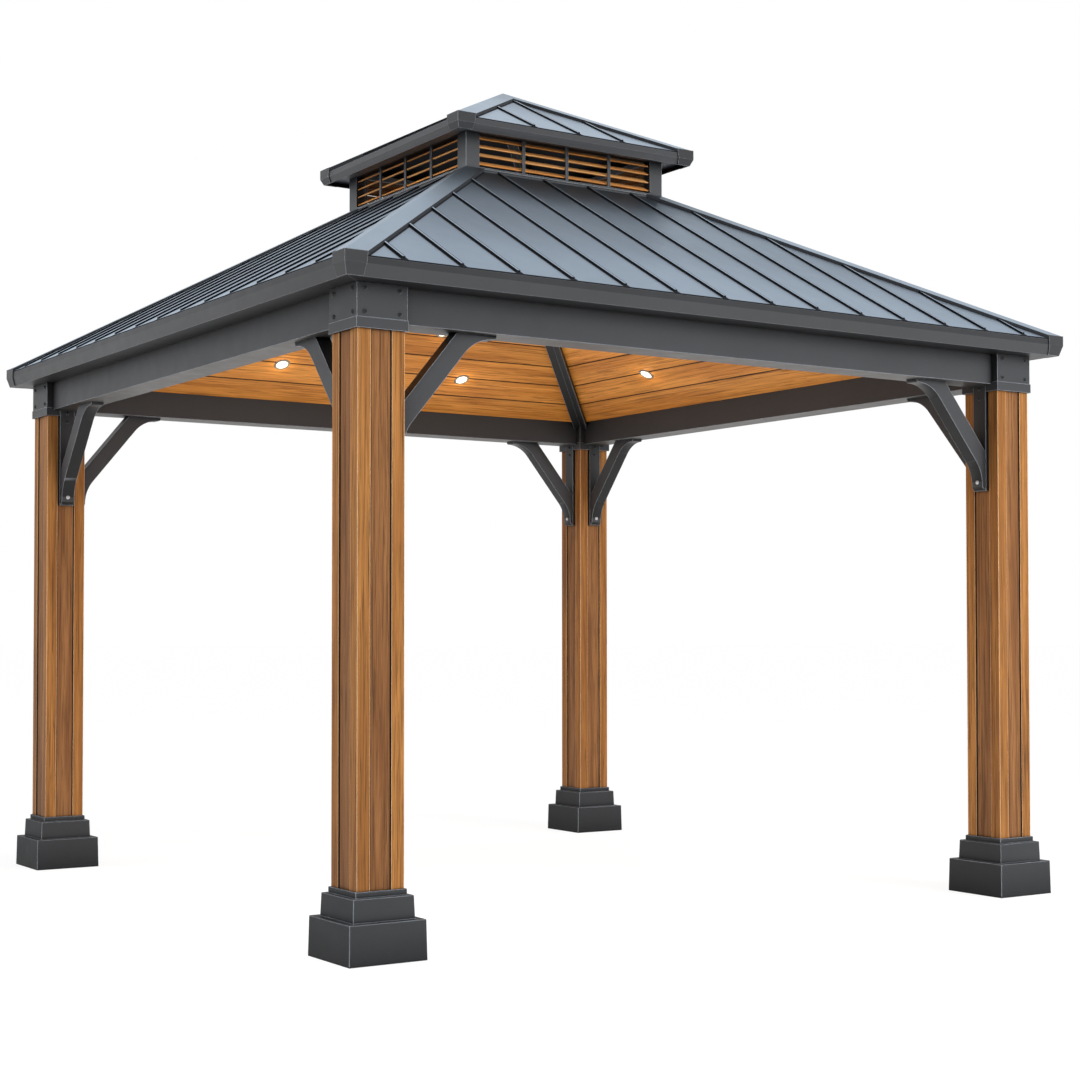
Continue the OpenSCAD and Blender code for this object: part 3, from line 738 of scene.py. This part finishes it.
roof = roof_coat("roof_coat", (0.300, 0.356, 0.426), SEAM_SIDE_SHADE, roughness=0.40, sheet=EAVE,
                 uphill_shade=((0.05, 0.50, 0.71), (0.66, 0.98, 0.42)), seams=(0.0, 1.68))
upper_roof = roof_coat("upper_roof_coat", (0.380, 0.440, 0.512), SEAM_SIDE_SHADE, roughness=0.40,
                       sheet=UPPER_EAVE, uphill_shade=((0.2, 1.0, 0.65),), seams=(0.5, 0.36))
caps = roof_coat("cap_coat", (0.318, 0.374, 0.440), CAP_SIDE_SHADE, roughness=0.38, sheet=EAVE,
                 uphill_shade=((0.66, 1.0, 0.35),))
upper_caps = roof_coat("upper_cap_coat", (0.385, 0.443, 0.507), CAP_SIDE_SHADE, roughness=0.38,
                       sheet=UPPER_EAVE, uphill_shade=((0.4, 1.0, 0.7),))
post_finish = post_wood("post_wood", dark=(0.094, 0.0390, 0.0136), middle=(0.267, 0.1055, 0.0266),
                        light=(0.415, 0.181, 0.0478))
ceiling_finish = board_wood("ceiling_wood", dark=(0.230, 0.076, 0.011), middle=(0.530, 0.194, 0.029),
                            light=(0.710, 0.300, 0.058))
louvre_finish = louvre_wood("louvre_wood", dark=(0.300, 0.110, 0.026), middle=(0.720, 0.295, 0.080),
                            light=(0.860, 0.440, 0.160))
zinc = galvanised("galvanised")
trim = trim_metal("light_trim", colour=(0.26, 0.23, 0.19))
bolt_bright = trim_metal("bolt_bright", colour=(0.62, 0.63, 0.65))
lens = lit_lens("lit_lens", colour=(1.0, 0.88, 0.68), strength=3.0)

for corner in CORNERS:
    dress("base_cover_" + corner, base_coat, edge=0.0022)
    dress("post_" + corner, post_finish, edge=0.0014)
    dress("bracket_" + corner, charcoal, edge=0.0012)
    dress("braces_" + corner, charcoal, edge=0.0020)
for side in SIDES:
    dress("beam_" + side, charcoal, edge=0.0016)
    dress("roof_" + side, roof)
    dress("cupola_" + side, cupola_coat, edge=0.0012)
for name in ("brace_strips", "hip_rafters", "upper_rafters"):
    dress(name, charcoal, edge=0.0010)
for name in ("eave_corner_caps", "upper_corner_caps"):
    dress(name, corner_caps, edge=0.0008)
dress("eave_fascias", fascia_coat, edge=0.0010)
dress("upper_fascias", upper_fascia_coat, edge=0.0010)
dress("hip_caps", caps, edge=0.0008)
dress("upper_hip_caps", upper_caps, edge=0.0008)
dress("upper_roof", upper_roof)
dress("louvre_blades", louvre_finish, edge=0.0016)
dress("foot_plates", zinc)
dress("downlight_trims", trim)
dress("downlight_lenses", lens)

rng = random.Random(7)
for k, side in enumerate(SIDES):
    ceiling_boards(k, side, ceiling_finish, rng)
curb_beads(cupola_coat)
bolts("bracket_bolts", bracket_bolt_places(),
      bolt_profile(head_r=0.0075, head_h=0.0045, washer_r=0.0095, washer_h=0.0015),
      bolt_dark)
bolts("strip_bolts", strip_bolt_places(),
      bolt_profile(head_r=0.0070, head_h=0.0040, washer_r=0.0090, washer_h=0.0015),
      bolt_dark)
bolts("foot_bolts", foot_bolt_places(),
      bolt_profile(head_r=0.0070, head_h=0.0050, washer_r=0.0095, washer_h=0.0018),
      bolt_bright)


# Floor, light and camera

def seen_directly(tree):
    """One for rays from the camera and for mirrored or refracted ones."""
    path = wire(tree, "ShaderNodeLightPath")
    seen = calc(tree, "MAXIMUM", path.outputs["Is Camera Ray"], path.outputs["Is Glossy Ray"])
    return calc(tree, "MAXIMUM", seen, path.outputs["Is Transmission Ray"])


def white_floor(half_size, drop=0.0005):
    """White where it is seen, with faint shadows; it throws back less light than it seems to."""
    bm = bmesh.new()
    bmesh.ops.create_grid(bm, x_segments=1, y_segments=1, size=half_size)
    floor = bpy.data.objects.new("floor", mesh_from("floor", bm))
    bpy.context.scene.collection.objects.link(floor)
    floor.location.z = -drop
    material, tree = new_material("floor_white")
    shaded = wire(tree, "ShaderNodeBsdfDiffuse", {"Color": (0.22, 0.22, 0.22, 1)})
    glow = wire(tree, "ShaderNodeEmission", {"Color": (1, 1, 1, 1), "Strength": 0.88})
    seen = wire(tree, "ShaderNodeAddShader", {0: shaded.outputs[0], 1: glow.outputs[0]})
    plain = wire(tree, "ShaderNodeBsdfDiffuse", {"Color": (0.72, 0.72, 0.72, 1)})
    mixed = wire(tree, "ShaderNodeMixShader",
                 {0: seen_directly(tree), 1: plain.outputs[0], 2: seen.outputs[0]})
    wire(tree, "ShaderNodeOutputMaterial", {"Surface": mixed.outputs[0]})
    floor.data.materials.append(material)


def white_world(sky_strength, bias, bright_side):
    """White where it is seen; its light is stronger from the bright side and weaker from the other."""
    world = bpy.data.worlds.new("studio")
    bpy.context.scene.world = world
    world.use_nodes = True
    tree = world.node_tree
    tree.nodes.clear()
    direction = wire(tree, "ShaderNodeTexCoord").outputs["Generated"]
    facing = wire(tree, "ShaderNodeVectorMath", {0: direction, 1: bright_side},
                  operation="DOT_PRODUCT").outputs["Value"]
    strength = choose(tree, seen_directly(tree), scaled(tree, facing, bias, sky_strength), 1.0)
    back = wire(tree, "ShaderNodeBackground", {"Color": (1, 1, 1, 1), "Strength": strength})
    wire(tree, "ShaderNodeOutputWorld", {"Surface": back.outputs[0]})


def add_lamp(data, place):
    """Lamp that lights the object and isn't seen itself, nor mirrored."""
    lamp = bpy.data.objects.new(data.name, data)
    bpy.context.scene.collection.objects.link(lamp)
    lamp.location = place
    lamp.visible_camera = False
    lamp.visible_glossy = False
    return lamp


def area_light(name, place, target, size, power, colour=(1, 1, 1), spread=math.pi):
    data = bpy.data.lights.new(name, "AREA")
    data.shape = "DISK"
    data.size = size
    data.energy = power
    data.color = colour
    data.spread = spread
    lamp = add_lamp(data, place)
    lamp.rotation_euler = (Vector(target) - Vector(place)).to_track_quat("-Z", "Y").to_euler()


def downlight_glow(power):
    """Warm pool of light on the boards round each downlight."""
    for k in range(4):
        for i, (place, up) in enumerate(light_places()):
            data = bpy.data.lights.new(f"downlight_{k}_{i}", "POINT")
            data.energy = power
            data.color = WARM_LIGHT
            data.shadow_soft_size = 0.02
            add_lamp(data, at_corner(k, place - GLOW_BELOW * up))


def photo_camera():
    data = bpy.data.cameras.new("camera")
    data.sensor_fit = "HORIZONTAL"
    data.sensor_width = SENSOR_MM
    data.lens = FOCAL_PX / IMAGE_SIDE * SENSOR_MM
    data.shift_x = (IMAGE_SIDE / 2 - AXIS_PX[0]) / IMAGE_SIDE
    data.shift_y = (AXIS_PX[1] - IMAGE_SIDE / 2) / IMAGE_SIDE
    data.clip_end = 500
    camera = bpy.data.objects.new("camera", data)
    bpy.context.scene.collection.objects.link(camera)
    camera.location = CAMERA_PLACE
    camera.rotation_euler = (math.pi / 2 + CAMERA_RISE, 0, -CAMERA_TURN)
    bpy.context.scene.camera = camera


white_floor(half_size=150.0)
white_world(sky_strength=0.46, bias=0.28, bright_side=(0.45, -0.80, 0.35))
area_light("key", place=(3.5, -10.0, 3.4), target=(0, 0, 1.6), size=6.0, power=760)
area_light("fill", place=(-5.2, -3.4, 1.7), target=(-1.6, -1.6, 1.2), size=2.5, power=6)
area_light("left", place=(-8.0, 0.5, 3.0), target=(-1.6, 0, 2.4), size=3.0, power=32,
           spread=math.radians(60))
area_light("left_slope", place=(-4.2, 2.2, 7.5), target=(-1.2, 0.1, 2.7), size=2.0, power=26,
           spread=math.radians(38))
area_light("under", place=(0, 0, 0.03), target=(0, 0, 3), size=3.0, power=36, colour=(1.0, 0.95, 0.88))
downlight_glow(power=0.22)
photo_camera()
bpy.context.scene.view_settings.view_transform = "Standard"
